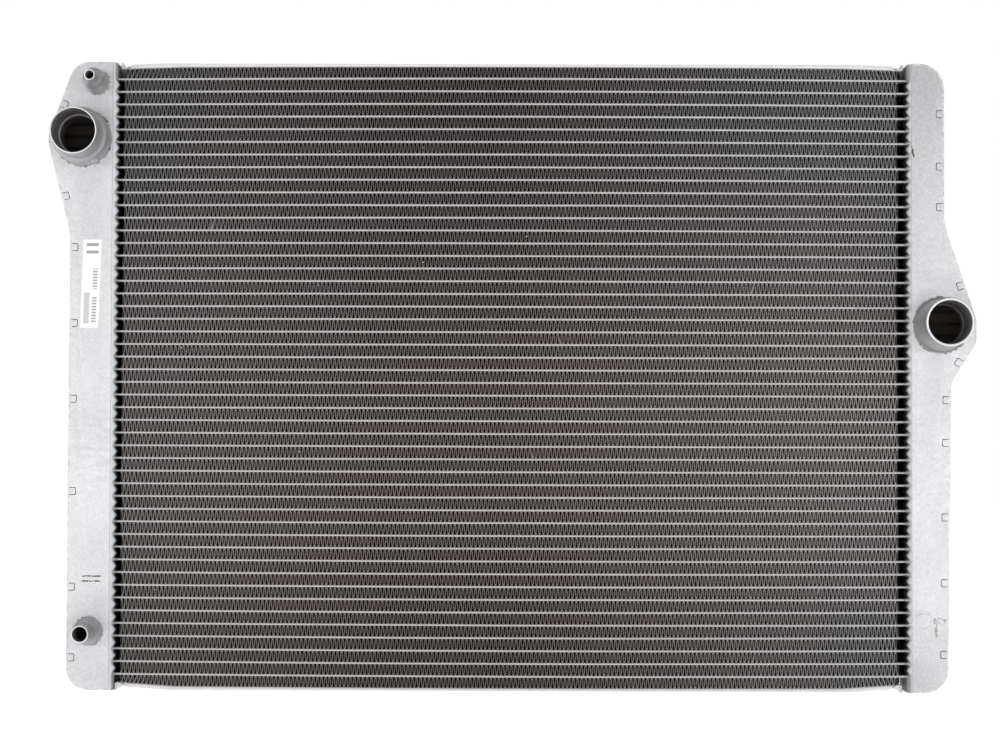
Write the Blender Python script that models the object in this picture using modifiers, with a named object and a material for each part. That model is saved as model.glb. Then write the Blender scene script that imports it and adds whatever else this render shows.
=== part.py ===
"""Crossflow car radiator, all aluminium, brazed.

Flat tubes run left to right between two ribbed header plates. Behind each header sits a tank:
a pressed tray with folded tabs, closed at the front by a flat cover. Two hose spigots and two
small nipples stand out of the covers, towards -Y. Side plates close the core at top and bottom.

The frame: +X is right seen from the front, +Y points to the back, +Z is up. The origin lies on
the underside, at the middle of the core. Lengths are in metres.
"""
import math

import bmesh
import bpy
from mathutils import Matrix, Vector

MM = 0.001

# Core
TUBE_COUNT = 48
TUBE_PITCH = 9.65 * MM
TUBE_HEIGHT = 1.6 * MM
TUBE_WALL = 0.3 * MM
CORE_DEPTH = 42.0 * MM
CORE_HALF_WIDTH = 301.4 * MM
TUBE_TAIL = 6.0 * MM
TUBE_NOSE_STEPS = 4
PLATE_FLANGE = 3.375 * MM
PLATE_SHEET = 1.2 * MM
PLATE_LIFTS = {"side_plate_bottom": 2.8 * MM, "side_plate_top": 1.3 * MM}
PLATE_LIFT_LENGTH = 46.0 * MM
PLATE_HOOK_GAP = 2.3 * MM
PLATE_FLANGE_CUT = 7.0 * MM
PLATE_BEAD_HALF = 4.0 * MM
PLATE_BEAD_SLOPE = 3.0 * MM
PLATE_BEAD_END = 60.0 * MM
PLATE_BEAD_RUNOUT = 15.0 * MM

# Tanks
TANK_DEPTH = 56.0 * MM
TRAY_SHEET = 1.6 * MM
COVER_SHEET = 2.5 * MM
HEADER_SHEET = 1.8 * MM
HEADER_LEG = 7.0 * MM
RIB_HEIGHT = 2.0 * MM
RIB_FLAT_HALF = 1.3 * MM
TAB_SIZE = 5.7 * MM
TAB_SHEET = 1.3 * MM
TAB_PROUD = 0.2 * MM
ARC_STEPS = 5

# Clearance left where two pieces are brazed together
GAP = 0.3 * MM

# Derived places
FIN_HEIGHT = TUBE_PITCH - TUBE_HEIGHT
FIRST_TUBE_Z = PLATE_FLANGE + FIN_HEIGHT + TUBE_HEIGHT / 2
HEIGHT = 2 * FIRST_TUBE_Z + (TUBE_COUNT - 1) * TUBE_PITCH
TUBE_Z = [FIRST_TUBE_Z + i * TUBE_PITCH for i in range(TUBE_COUNT)]
FRONT_Y = -TANK_DEPTH / 2
BACK_Y = TANK_DEPTH / 2
HEADER_FRONT_Y = FRONT_Y + COVER_SHEET + GAP
HEADER_BACK_Y = BACK_Y - TRAY_SHEET - GAP
SEAM = HEADER_SHEET + GAP

# Tank outlines seen from the front, each corner as distance from the header face, height and
# corner radius, from the top inner corner round the outside to the bottom inner corner.
LEFT_CORNERS = [
    (0.0, HEIGHT, 0.0),
    (31.4 * MM, HEIGHT, 16.0 * MM),
    (52.7 * MM, 419.5 * MM, 20.0 * MM),
    (34.4 * MM, 346.6 * MM, 45.0 * MM),
    (35.2 * MM, 0.0, 17.5 * MM),
    (0.0, 0.0, 0.0),
]
RIGHT_CORNERS = [
    (0.0, HEIGHT, 0.0),
    (27.5 * MM, HEIGHT, 19.0 * MM),
    (27.6 * MM, 355.0 * MM, 40.0 * MM),
    (52.0 * MM, 283.0 * MM, 14.0 * MM),
    (52.0 * MM, 265.8 * MM, 12.0 * MM),
    (32.4 * MM, 234.5 * MM, 18.0 * MM),
    (29.9 * MM, 0.0, 18.0 * MM),
    (0.0, 0.0, 0.0),
]

# Heights of the folded tabs, grouped by the outline side that they hang from
LEFT_TABS = {1: [446.6], 2: [374.7], 3: [336.5, 278.6, 221.0, 150.9, 78.4, 25.0]}
RIGHT_TABS = {1: [439.6, 399.6, 368.7], 2: [309.8], 4: [248.7], 5: [221.9, 189.5, 133.0, 83.3, 29.2]}

# Turned connectors: place on the tank (distance from the header face, height), the radius of
# the neck that passes through the cover, segments, and the profile as (radius, height over the
# cover) in mm, from the base up the outside, over the rim and down the bore.
CONNECTORS = {
    "inlet_spigot": {
        "side": -1, "place": (25.4 * MM, 420.0 * MM), "neck": 17.0, "steps": 40,
        "profile": [(21.8, 0.3), (21.8, 2.0), (21.5, 3.2), (21.2, 20.0), (20.6, 21.0), (18.4, 21.4),
                    (17.8, 23.0), (17.5, 49.3), (17.1, 50.0), (16.4, 50.0), (16.2, 19.4), (14.6, 18.2)],
        "lug": {"turn": 58.0, "from": 19.5, "to": 24.0, "width": 6.0, "low": 13.2, "high": 19.6},
    },
    "outlet_spigot": {
        "side": 1, "place": (25.2 * MM, 278.8 * MM), "neck": 17.0, "steps": 40,
        "profile": [(21.3, 0.3), (21.3, 1.1), (20.4, 1.6), (19.6, 5.0), (18.6, 14.0), (18.1, 26.0),
                    (18.1, 45.3), (17.6, 46.0), (16.4, 46.0), (16.1, 45.4), (16.1, 8.4), (14.9, 7.4)],
    },
    "vent_nipple": {
        "side": -1, "place": (14.2 * MM, 462.1 * MM), "neck": 7.0, "steps": 28,
        "profile": [(9.3, 0.3), (9.3, 1.0), (8.2, 1.8), (8.0, 26.0), (7.4, 28.0), (5.0, 31.4),
                    (4.5, 33.0), (4.15, 44.5), (3.9, 45.0), (3.15, 45.0)],
    },
    "lower_nipple": {
        "side": -1, "place": (18.2 * MM, 45.0 * MM), "neck": 8.4, "steps": 28,
        "profile": [(11.0, 0.3), (11.0, 1.2), (9.9, 2.0), (9.6, 12.4), (8.9, 13.5), (8.7, 28.0),
                    (8.2, 29.2), (6.9, 32.0), (6.7, 44.5), (6.4, 45.0), (5.5, 45.0)],
    },
}
NECK_TAIL = 1.0

COLOURS = {
    "tube": (0.78, 0.78, 0.79, 1.0),
    "header": (0.62, 0.64, 0.68, 1.0),
    "tank": (0.66, 0.66, 0.67, 1.0),
    "side_plate": (0.74, 0.74, 0.76, 1.0),
    "connector": (0.42, 0.42, 0.43, 1.0),
}


def material(name, colour):
    made = bpy.data.materials.new(name)
    made.use_nodes = True
    shader = made.node_tree.nodes["Principled BSDF"]
    shader.inputs["Base Color"].default_value = colour
    shader.inputs["Metallic"].default_value = 0.85
    shader.inputs["Roughness"].default_value = 0.55
    return made


def add_object(name, data, collection, paint=None):
    made = bpy.data.objects.new(name, data)
    collection.objects.link(made)
    if paint:
        data.materials.append(paint)
    return made


def mesh_from(bm, name):
    mesh = bpy.data.meshes.new(name)
    bm.to_mesh(mesh)
    bm.free()
    return mesh


def flat_curve(name, outlines, thickness, collection):
    """A flat outline with holes, filled and thickened both ways from its own XY plane."""
    curve = bpy.data.curves.new(name, "CURVE")
    curve.dimensions = "2D"
    curve.fill_mode = "BOTH"
    curve.extrude = thickness / 2
    for outline in outlines:
        spline = curve.splines.new("POLY")
        spline.points.add(len(outline) - 1)
        for point, (x, y) in zip(spline.points, outline):
            point.co = (x, y, 0.0, 1.0)
        spline.use_cyclic_u = True
    return add_object(name, curve, collection)


def curve_to_mesh(source, name, collection, paint=None):
    """Turns a curve object into a welded mesh object in the same place."""
    bpy.context.view_layer.update()
    evaluated = source.evaluated_get(bpy.context.evaluated_depsgraph_get())
    mesh = bpy.data.meshes.new_from_object(evaluated)
    bm = bmesh.new()
    bm.from_mesh(mesh)
    bmesh.ops.remove_doubles(bm, verts=bm.verts, dist=0.00001)
    bm.to_mesh(mesh)
    bm.free()
    matrix = source.matrix_world.copy()
    curve = source.data
    bpy.data.objects.remove(source)
    bpy.data.curves.remove(curve)
    mesh.name = name
    made = add_object(name, mesh, collection, paint)
    made.matrix_world = matrix
    return made


def add_boolean(target, cutter, operation):
    modifier = target.modifiers.new(cutter.name, "BOOLEAN")
    modifier.operation = operation
    modifier.solver = "EXACT"
    modifier.object = cutter
    cutter.hide_render = True
    cutter.display_type = "WIRE"


def solidify(target, thickness):
    modifier = target.modifiers.new("Sheet", "SOLIDIFY")
    modifier.thickness = thickness
    modifier.offset = -1.0
    modifier.use_even_offset = True


def capsule(width, height, centre_y, steps):
    """Outline of a slot with round ends, centred at (0, centre_y)."""
    radius = height / 2
    straight = width / 2 - radius
    points = []
    for side in (1, -1):
        for i in range(steps + 1):
            angle = math.pi * (i / steps - 0.5)
            points.append((side * (straight + radius * math.cos(angle)),
                           centre_y + side * radius * math.sin(angle)))
    return points


def circle(centre_x, centre_y, radius, steps):
    angles = [2 * math.pi * i / steps for i in range(steps)]
    return [(centre_x + radius * math.cos(a), centre_y + radius * math.sin(a)) for a in angles]


def rounded(corners):
    """Replaces each corner of a closed outline by an arc of its own radius."""
    points = []
    for i, (d, z, radius) in enumerate(corners):
        here = Vector((d, z))
        if radius == 0.0:
            points.append((d, z))
            continue
        back = (Vector(corners[i - 1][:2]) - here).normalized()
        ahead = (Vector(corners[(i + 1) % len(corners)][:2]) - here).normalized()
        half = back.angle(ahead) / 2
        centre = here + (back + ahead).normalized() * (radius / math.sin(half))
        start = here + back * (radius / math.tan(half)) - centre
        end = here + ahead * (radius / math.tan(half)) - centre
        sweep = start.angle_signed(end)
        for step in range(ARC_STEPS + 1):
            turned = Matrix.Rotation(-sweep * step / ARC_STEPS, 2) @ start
            points.append(tuple(centre + turned))
    return points


def inset(corners, distance, seam):
    """Moves every side of an outline inwards; the side along the header goes to the seam."""
    moved = []
    count = len(corners)
    centre_z = HEIGHT / 2
    for i, (d, z, radius) in enumerate(corners):
        if radius == 0.0:
            moved.append((seam, z - math.copysign(distance, z - centre_z), 0.0))
            continue
        here = Vector((d, z))
        back = (here - Vector(corners[i - 1][:2])).normalized()
        ahead = (Vector(corners[(i + 1) % count][:2]) - here).normalized()
        turn = back.cross(ahead)
        inward = Vector((back.y, -back.x)) + Vector((ahead.y, -ahead.x))
        inward.normalize()
        shift = distance / inward.dot(Vector((back.y, -back.x)))
        moved.append((d + inward.x * shift, z + inward.y * shift,
                      radius + distance * math.copysign(1.0, turn)))
    return moved


def tank_tabs(corners, groups):
    """Centre line start (on the outline) and inward direction of every tab."""
    tabs = []
    for side, heights in groups.items():
        top = Vector(corners[side][:2])
        bottom = Vector(corners[side + 1][:2])
        along = (bottom - top).normalized()
        inward = Vector((along.y, -along.x))
        for height in heights:
            share = (height * MM - top.y) / (bottom.y - top.y)
            tabs.append((top.lerp(bottom, share), inward))
    return tabs


def tab_boxes(name, tabs, sign, width, reach, front, back, collection):
    """One mesh of boxes, each lying along its tab from the outline inwards."""
    bm = bmesh.new()
    start = 0.05 * MM
    for place, inward in tabs:
        middle = place + inward * (start + reach) / 2
        angle = math.atan2(inward.y, sign * inward.x)
        matrix = (Matrix.Translation((sign * middle.x, (front + back) / 2, middle.y))
                  @ Matrix.Rotation(-angle, 4, "Y")
                  @ Matrix.Diagonal((reach - start, back - front, width, 1.0)))
        bmesh.ops.create_cube(bm, size=1.0, matrix=matrix)
    made = add_object(name, mesh_from(bm, name), collection)
    made.location.x = sign * CORE_HALF_WIDTH
    return made


def extrude_row(bm, edges, moves):
    """Extrudes a row of edges along a list of moves, each one vector for every vertex."""
    for move in moves:
        result = bmesh.ops.extrude_edge_only(bm, edges=edges)
        fresh = [item for item in result["geom"] if isinstance(item, bmesh.types.BMVert)]
        edges = [item for item in result["geom"] if isinstance(item, bmesh.types.BMEdge)]
        bmesh.ops.translate(bm, verts=fresh, vec=move)
    return edges


def make_tubes(collection, paint):
    """All tubes share one hollow flat section, open at both ends inside the tanks."""
    length = 2 * (CORE_HALF_WIDTH + TUBE_TAIL)
    outer = capsule(CORE_DEPTH, TUBE_HEIGHT, 0.0, TUBE_NOSE_STEPS)
    inner = capsule(CORE_DEPTH - 2 * TUBE_WALL, TUBE_HEIGHT - 2 * TUBE_WALL, 0.0, TUBE_NOSE_STEPS)
    source = flat_curve("tube_section", [outer, inner], length, collection)
    source.rotation_euler = (math.pi / 2, 0.0, math.pi / 2)
    first = curve_to_mesh(source, "tube_01", collection, paint)
    first.location.z = TUBE_Z[0]
    for i in range(1, TUBE_COUNT):
        tube = bpy.data.objects.new(f"tube_{i + 1:02d}", first.data)
        collection.objects.link(tube)
        tube.rotation_euler = first.rotation_euler
        tube.location.z = TUBE_Z[i]


def make_slot_cutter(cutters):
    """One bar for each tube, long enough to pass through both headers."""
    width = CORE_DEPTH + 2 * GAP
    height = TUBE_HEIGHT + 2 * GAP
    slots = [capsule(width, height, z, 2) for z in TUBE_Z]
    source = flat_curve("slot_section", slots, 2 * (CORE_HALF_WIDTH + 3 * HEADER_LEG), cutters)
    source.rotation_euler = (math.pi / 2, 0.0, math.pi / 2)
    return curve_to_mesh(source, "slot_cutter", cutters)


def make_header(name, sign, slot_cutter, collection, cutters, paint):
    """A channel with its legs in the tank, ribbed towards the core between the tubes."""
    rows = [(0.0, 0.0)]
    for i, z in enumerate(TUBE_Z):
        rows += [(z - RIB_FLAT_HALF, 0.0), (z + RIB_FLAT_HALF, 0.0)]
        if i < TUBE_COUNT - 1:
            rows.append((z + TUBE_PITCH / 2, -RIB_HEIGHT))
    rows.append((HEIGHT, 0.0))

    bm = bmesh.new()
    section = [(HEADER_LEG, HEADER_BACK_Y), (0.0, HEADER_BACK_Y),
               (0.0, HEADER_FRONT_Y), (HEADER_LEG, HEADER_FRONT_Y)]
    verts = [bm.verts.new((sign * d, y, 0.0)) for d, y in section]
    edges = [bm.edges.new(pair) for pair in zip(verts, verts[1:])]
    moves = [Vector((0.0, 0.0, above[0] - below[0])) for below, above in zip(rows, rows[1:])]
    extrude_row(bm, edges, moves)
    # The plate between the legs follows the ribs; the ends of the legs stay straight.
    for z, rib in rows:
        for vert in bm.verts:
            if abs(vert.co.z - z) < 0.1 * MM and abs(vert.co.x) < HEADER_LEG / 2:
                vert.co.x = sign * rib
    if sign > 0:
        bmesh.ops.reverse_faces(bm, faces=bm.faces)
    header = add_object(name, mesh_from(bm, name), collection, paint)
    header.location.x = sign * CORE_HALF_WIDTH
    solidify(header, HEADER_SHEET)
    add_boolean(header, slot_cutter, "DIFFERENCE")

    # The legs stop short of the end walls of the tray.
    bm = bmesh.new()
    clear = TRAY_SHEET + GAP
    for z in (0.0, HEIGHT):
        matrix = (Matrix.Translation((sign * (SEAM + HEADER_LEG / 2), 0.0, z))
                  @ Matrix.Diagonal((HEADER_LEG, 1.2 * TANK_DEPTH, 2 * clear, 1.0)))
        bmesh.ops.create_cube(bm, size=1.0, matrix=matrix)
    trim = add_object(f"{name}_trim", mesh_from(bm, f"{name}_trim"), cutters)
    trim.location.x = header.location.x
    add_boolean(header, trim, "DIFFERENCE")


def make_tray(name, sign, corners, tabs, collection, cutters, paint):
    """Side wall, end walls and back in one pressed sheet, with tabs folded over the cover."""
    path = [(max(d, SEAM), z) for d, z in rounded(corners)]
    bm = bmesh.new()
    verts = [bm.verts.new((sign * d, FRONT_Y, z)) for d, z in path]
    edges = [bm.edges.new(pair) for pair in zip(verts, verts[1:])]
    rim = extrude_row(bm, edges, [Vector((0.0, TANK_DEPTH, 0.0))])
    ends = [vert for vert in bm.verts if vert.co.y > 0.0 and abs(vert.co.x) < 1.01 * SEAM]
    closing = bm.edges.new(ends)
    bmesh.ops.contextual_create(bm, geom=rim + [closing])
    bmesh.ops.recalc_face_normals(bm, faces=bm.faces)
    back = max(bm.faces, key=lambda face: face.calc_center_median().y)
    if back.normal.y < 0.0:
        bmesh.ops.reverse_faces(bm, faces=bm.faces)
    tray = add_object(name, mesh_from(bm, name), collection, paint)
    tray.location.x = sign * CORE_HALF_WIDTH
    solidify(tray, TRAY_SHEET)
    boxes = tab_boxes(f"{name}_tabs", tabs, sign, TAB_SIZE, TAB_SIZE, FRONT_Y - TAB_PROUD,
                      FRONT_Y - TAB_PROUD + TAB_SHEET, cutters)
    add_boolean(tray, boxes, "UNION")


def make_cover(name, sign, corners, tabs, collection, cutters, paint):
    """A flat plate inside the tray's walls, holed for the connectors and coined for the tabs."""
    outline = [(sign * d, z) for d, z in rounded(inset(corners, TRAY_SHEET + GAP, SEAM))]
    outlines = [outline]
    for spec in CONNECTORS.values():
        if spec["side"] == sign:
            d, z = spec["place"]
            outlines.append(circle(sign * d, z, spec["neck"] * MM + 1.3 * GAP, spec["steps"]))
    source = flat_curve(f"{name}_outline", outlines, COVER_SHEET, collection)
    source.rotation_euler.x = math.pi / 2
    source.location = (sign * CORE_HALF_WIDTH, FRONT_Y + COVER_SHEET / 2, 0.0)
    cover = curve_to_mesh(source, name, collection, paint)
    floor = FRONT_Y - TAB_PROUD + TAB_SHEET + GAP
    pockets = tab_boxes(f"{name}_pockets", tabs, sign, TAB_SIZE + 3 * GAP, TAB_SIZE + 1.5 * GAP,
                        FRONT_Y - 5 * TAB_SHEET, floor, cutters)
    add_boolean(cover, pockets, "DIFFERENCE")


def make_side_plate(name, collection, paint):
    """A channel with its flanges outwards, lifted towards the core and hooked at both ends."""
    half = CORE_DEPTH / 2
    crest = PLATE_BEAD_HALF
    foot = PLATE_BEAD_HALF + PLATE_BEAD_SLOPE
    hook_x = CORE_HALF_WIDTH - PLATE_HOOK_GAP
    bead_full = CORE_HALF_WIDTH - PLATE_BEAD_END - PLATE_BEAD_RUNOUT
    stations = [hook_x - PLATE_FLANGE_CUT, hook_x - PLATE_LIFT_LENGTH,
                CORE_HALF_WIDTH - PLATE_BEAD_END, bead_full]
    stations = [-x for x in stations] + stations[::-1]

    bm = bmesh.new()
    section = [(-half, 0.0), (-half, PLATE_FLANGE), (-foot, PLATE_FLANGE), (-crest, PLATE_FLANGE),
               (crest, PLATE_FLANGE), (foot, PLATE_FLANGE), (half, PLATE_FLANGE), (half, 0.0)]
    verts = [bm.verts.new((stations[0], y, z)) for y, z in section]
    first = [bm.edges.new(pair) for pair in zip(verts, verts[1:])]
    moves = [Vector((b - a, 0.0, 0.0)) for a, b in zip(stations, stations[1:])]
    last = extrude_row(bm, first, moves)
    # The web alone runs on to the ends and turns outwards there.
    for row, way in ((first, -1.0), (last, 1.0)):
        web = [edge for edge in row if abs(edge.verts[0].co.z - edge.verts[1].co.z) < 0.1 * MM]
        web = extrude_row(bm, web, [Vector((way * PLATE_FLANGE_CUT, 0.0, 0.0))])
        extrude_row(bm, web, [Vector((0.0, 0.0, -PLATE_FLANGE - PLATE_LIFTS[name]))])
    for vert in bm.verts:
        share = (abs(vert.co.x) - hook_x + PLATE_LIFT_LENGTH) / PLATE_LIFT_LENGTH
        vert.co.z += PLATE_LIFTS[name] * min(max(share, 0.0), 1.0)
        if abs(vert.co.y) < 1.01 * crest and abs(vert.co.x) < 1.01 * bead_full:
            vert.co.z -= PLATE_FLANGE - PLATE_SHEET
    bmesh.ops.recalc_face_normals(bm, faces=bm.faces)
    side = min(bm.faces, key=lambda face: face.calc_center_median().y)
    if side.normal.y > 0.0:
        bmesh.ops.reverse_faces(bm, faces=bm.faces)
    mesh = mesh_from(bm, name)
    mesh.materials.append(paint)
    plate = add_object(name, mesh, collection)
    if name == "side_plate_top":
        plate.location.z = HEIGHT
        plate.rotation_euler.x = math.pi
    solidify(plate, PLATE_SHEET)


def add_lug(piece, spec, cutters):
    """Joins a small locating block to the collar, turned down from +X about the piece's axis."""
    lug = spec["lug"]
    reach = (lug["from"] + lug["to"]) / 2 * MM
    size = ((lug["to"] - lug["from"]) * MM, lug["width"] * MM, (lug["high"] - lug["low"]) * MM, 1.0)
    bm = bmesh.new()
    bmesh.ops.create_cube(bm, size=1.0, matrix=(
        Matrix.Rotation(-math.radians(lug["turn"]), 4, "Z")
        @ Matrix.Translation((reach, 0.0, (lug["low"] + lug["high"]) / 2 * MM))
        @ Matrix.Diagonal(size)))
    block = add_object(f"{piece.name}_lug", mesh_from(bm, f"{piece.name}_lug"), cutters)
    block.location = piece.location
    block.rotation_euler = piece.rotation_euler
    add_boolean(piece, block, "UNION")


def make_connector(name, spec, collection, cutters, paint):
    """A turned piece: its neck passes through the cover, its rim faces the front."""
    tail = -COVER_SHEET / MM - NECK_TAIL
    bore = spec["profile"][-1][0]
    loop = spec["profile"] + [(bore, tail), (spec["neck"], tail), (spec["neck"], spec["profile"][0][1])]
    bm = bmesh.new()
    verts = [bm.verts.new((r * MM, 0.0, h * MM)) for r, h in reversed(loop)]
    for a, b in zip(verts, verts[1:] + verts[:1]):
        bm.edges.new((a, b))
    piece = add_object(name, mesh_from(bm, name), collection, paint)
    d, z = spec["place"]
    piece.location = (spec["side"] * (CORE_HALF_WIDTH + d), FRONT_Y, z)
    piece.rotation_euler.x = math.pi / 2
    screw = piece.modifiers.new("Turn", "SCREW")
    screw.steps = spec["steps"]
    screw.render_steps = spec["steps"]
    screw.use_merge_vertices = True
    screw.merge_threshold = 0.00001
    screw.use_smooth_shade = True
    if "lug" in spec:
        add_lug(piece, spec, cutters)


def make_radiator():
    for old in list(bpy.data.objects):
        bpy.data.objects.remove(old)
    scene = bpy.context.scene.collection
    collection = bpy.data.collections.new("car_radiator")
    cutters = bpy.data.collections.new("cutters")
    scene.children.link(collection)
    scene.children.link(cutters)
    paints = {name: material(name, colour) for name, colour in COLOURS.items()}

    make_tubes(collection, paints["tube"])
    slot_cutter = make_slot_cutter(cutters)
    for word, sign, corners, groups in (("left", -1, LEFT_CORNERS, LEFT_TABS),
                                        ("right", 1, RIGHT_CORNERS, RIGHT_TABS)):
        tabs = tank_tabs(corners, groups)
        make_header(f"header_{word}", sign, slot_cutter, collection, cutters, paints["header"])
        make_tray(f"tank_{word}_tray", sign, corners, tabs, collection, cutters, paints["tank"])
        make_cover(f"tank_{word}_cover", sign, corners, tabs, collection, cutters, paints["tank"])
    for name in PLATE_LIFTS:
        make_side_plate(name, collection, paints["side_plate"])
    for name, spec in CONNECTORS.items():
        make_connector(name, spec, collection, cutters, paints["connector"])


make_radiator()
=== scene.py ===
import math

import bmesh
import bpy
import numpy as np
from mathutils import Matrix, Vector


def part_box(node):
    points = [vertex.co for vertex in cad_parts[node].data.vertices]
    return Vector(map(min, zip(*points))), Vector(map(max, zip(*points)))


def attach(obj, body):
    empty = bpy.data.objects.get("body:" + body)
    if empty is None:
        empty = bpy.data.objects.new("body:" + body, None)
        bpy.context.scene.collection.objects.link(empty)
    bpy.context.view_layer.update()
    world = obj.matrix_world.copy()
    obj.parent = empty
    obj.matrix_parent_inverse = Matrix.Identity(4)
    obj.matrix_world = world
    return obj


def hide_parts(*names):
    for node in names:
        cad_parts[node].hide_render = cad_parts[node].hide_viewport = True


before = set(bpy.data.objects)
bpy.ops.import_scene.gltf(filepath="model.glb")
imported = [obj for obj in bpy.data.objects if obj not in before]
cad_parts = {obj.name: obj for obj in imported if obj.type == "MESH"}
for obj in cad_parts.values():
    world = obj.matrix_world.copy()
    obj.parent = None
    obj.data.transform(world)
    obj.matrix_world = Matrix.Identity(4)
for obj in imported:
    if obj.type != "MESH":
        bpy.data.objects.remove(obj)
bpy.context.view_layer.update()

mm = 0.001

# places read from the frame
tubeNames = sorted(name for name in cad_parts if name.startswith("tube_"))
tubeBoxes = [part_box(name) for name in tubeNames]
tubeZ = np.array([(low.z + high.z) / 2 for low, high in tubeBoxes])
tubeHeight = tubeBoxes[0][1].z - tubeBoxes[0][0].z
tubePitch = (tubeZ[-1] - tubeZ[0]) / (len(tubeZ) - 1)
tubeEnd = tubeBoxes[0][1].x
coreHalf = tubeBoxes[0][1].y
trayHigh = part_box("tank_left_tray")[1]
height, backY = trayHigh.z, trayHigh.y
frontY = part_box("tank_left_cover")[0].y
ribRise = 2.0 * mm
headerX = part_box("header_right")[0].x + ribRise  # the header's flat face at the tubes
rng = np.random.default_rng(48)


class Wire:
    # one socket, wrapped so that shader maths reads as plain arithmetic
    def __init__(self, paint, socket):
        self.paint = paint
        self.socket = socket

    def maths(self, operation, first, second=0.0, clamp=False):
        settings = {"operation": operation, "use_clamp": clamp}
        return self.paint.node("ShaderNodeMath", settings, {0: first, 1: second})

    def __add__(self, other): return self.maths("ADD", self, other)
    def __radd__(self, other): return self.maths("ADD", other, self)
    def __sub__(self, other): return self.maths("SUBTRACT", self, other)
    def __rsub__(self, other): return self.maths("SUBTRACT", other, self)
    def __mul__(self, other): return self.maths("MULTIPLY", self, other)
    def __rmul__(self, other): return self.maths("MULTIPLY", other, self)
    def __pow__(self, other): return self.maths("POWER", self, other)
    def __rpow__(self, other): return self.maths("POWER", other, self)
    def __abs__(self): return self.maths("ABSOLUTE", self)

    def clamped(self): return self.maths("ADD", self, 0.0, True)
    def sine(self): return self.maths("SINE", self)


class Paint:
    # one material and the nodes in it
    def __init__(self, name):
        self.material = bpy.data.materials.new(name)
        self.material.use_nodes = True
        self.tree = self.material.node_tree
        self.tree.nodes.clear()
        self.place = self.node("ShaderNodeTexCoord", output="Object")

    def node(self, kind, settings=None, sockets=None, output=0):
        made = self.tree.nodes.new(kind)
        for key, value in (settings or {}).items():
            setattr(made, key, value)
        for key, value in (sockets or {}).items():
            if isinstance(value, Wire):
                self.tree.links.new(value.socket, made.inputs[key])
            else:
                made.inputs[key].default_value = value
        return Wire(self, made.outputs[output])

    def axis(self, letter):
        return self.node("ShaderNodeSeparateXYZ", None, {0: self.place}, letter.upper())

    def attribute(self, name):
        return self.node("ShaderNodeAttribute", {"attribute_name": name}, None, "Fac")

    def noise(self, scale, detail=2.0, stretch=(1.0, 1.0, 1.0), rough=0.5, warp=0.0):
        spot = self.node("ShaderNodeMapping", None, {"Vector": self.place, "Scale": stretch})
        sockets = {"Vector": spot, "Scale": scale, "Detail": detail, "Roughness": rough, "Distortion": warp}
        return self.node("ShaderNodeTexNoise", None, sockets)

    def spots(self, scale):
        sockets = {"Vector": self.place, "Scale": scale}
        return self.node("ShaderNodeTexVoronoi", None, sockets, "Distance")

    def between(self, value, low, high, start=0.0, end=1.0):
        sockets = {"Value": value, "From Min": low, "From Max": high, "To Min": start, "To Max": end}
        return self.node("ShaderNodeMapRange", {"clamp": True}, sockets)

    def mix(self, factor, first, second, blend="MIX"):
        settings = {"data_type": "RGBA", "blend_type": blend}
        return self.node("ShaderNodeMix", settings, {0: factor, 6: first, 7: second}, 2)

    def scaled(self, colour, factor):
        # a colour made lighter or darker by a number that varies over the surface
        grey = self.node("ShaderNodeCombineColor", None, {0: factor, 1: factor, 2: factor})
        return self.mix(1.0, colour, grey, "MULTIPLY")

    def finish(self, spec, colour, relief=None, strength=0.0, distance=0.0, rough=None):
        sockets = {"Base Color": colour, "Metallic": spec["metallic"],
                   "Roughness": spec["roughness"] if rough is None else rough,
                   "Specular IOR Level": spec.get("gloss", 0.5), "Emission Color": (1.0, 1.0, 1.0, 1.0),
                   "Emission Strength": spec.get("glow", 0.0)}
        if relief:
            bump = {"Height": relief, "Strength": strength, "Distance": distance}
            sockets["Normal"] = self.node("ShaderNodeBump", None, bump)
        shader = self.node("ShaderNodeBsdfPrincipled", None, sockets)
        out = self.tree.nodes.new("ShaderNodeOutputMaterial")
        self.tree.links.new(shader.socket, out.inputs["Surface"])
        return self.material


def circle(count):
    # evenly spaced angles once round
    return np.linspace(0, 2 * math.pi, count, endpoint=False)


def pointGrid(x, y, z):
    # three arrays stretched to one shape, as a grid of points
    return np.stack(np.broadcast_arrays(x, y, z), -1)


def gridFaces(rows, cols, start=0, wrapRows=False, wrapCols=False, flip=False):
    # quads between neighbouring points of a grid that is numbered row by row
    r, c = np.meshgrid(np.arange(rows if wrapRows else rows - 1),
                       np.arange(cols if wrapCols else cols - 1), indexing="ij")
    nextR, nextC = (r + 1) % rows, (c + 1) % cols
    quads = np.stack([r * cols + c, nextR * cols + c, nextR * cols + nextC, r * cols + nextC], -1)
    quads = quads.reshape(-1, 4) + start
    return quads[:, ::-1] if flip else quads


def sheetBody(outer, inner, wrapCols=False):
    # closes two matching grids into one sheet of metal, with walls along their free edges
    rows, cols = outer.shape[:2]
    count = rows * cols
    faces = [gridFaces(rows, cols, 0, False, wrapCols),
             gridFaces(rows, cols, count, False, wrapCols, True)]
    c = np.arange(cols if wrapCols else cols - 1)
    nextC = (c + 1) % cols
    for row, turn in ((0, 1), (rows - 1, -1)):
        a, b = row * cols + c, row * cols + nextC
        faces.append(np.stack([a, b, b + count, a + count], -1)[:, ::turn])
    if not wrapCols:
        r = np.arange(rows - 1)
        for col, turn in ((0, -1), (cols - 1, 1)):
            a, b = r * cols + col, (r + 1) * cols + col
            faces.append(np.stack([a, b, b + count, a + count], -1)[:, ::turn])
    return np.concatenate([outer.reshape(-1, 3), inner.reshape(-1, 3)]), np.concatenate(faces)


def ringBody(grid):
    # a grid that closes on itself both ways, such as a turned piece with a bore
    rows, cols = grid.shape[:2]
    return grid.reshape(-1, 3), gridFaces(rows, cols, 0, True, True)


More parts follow.
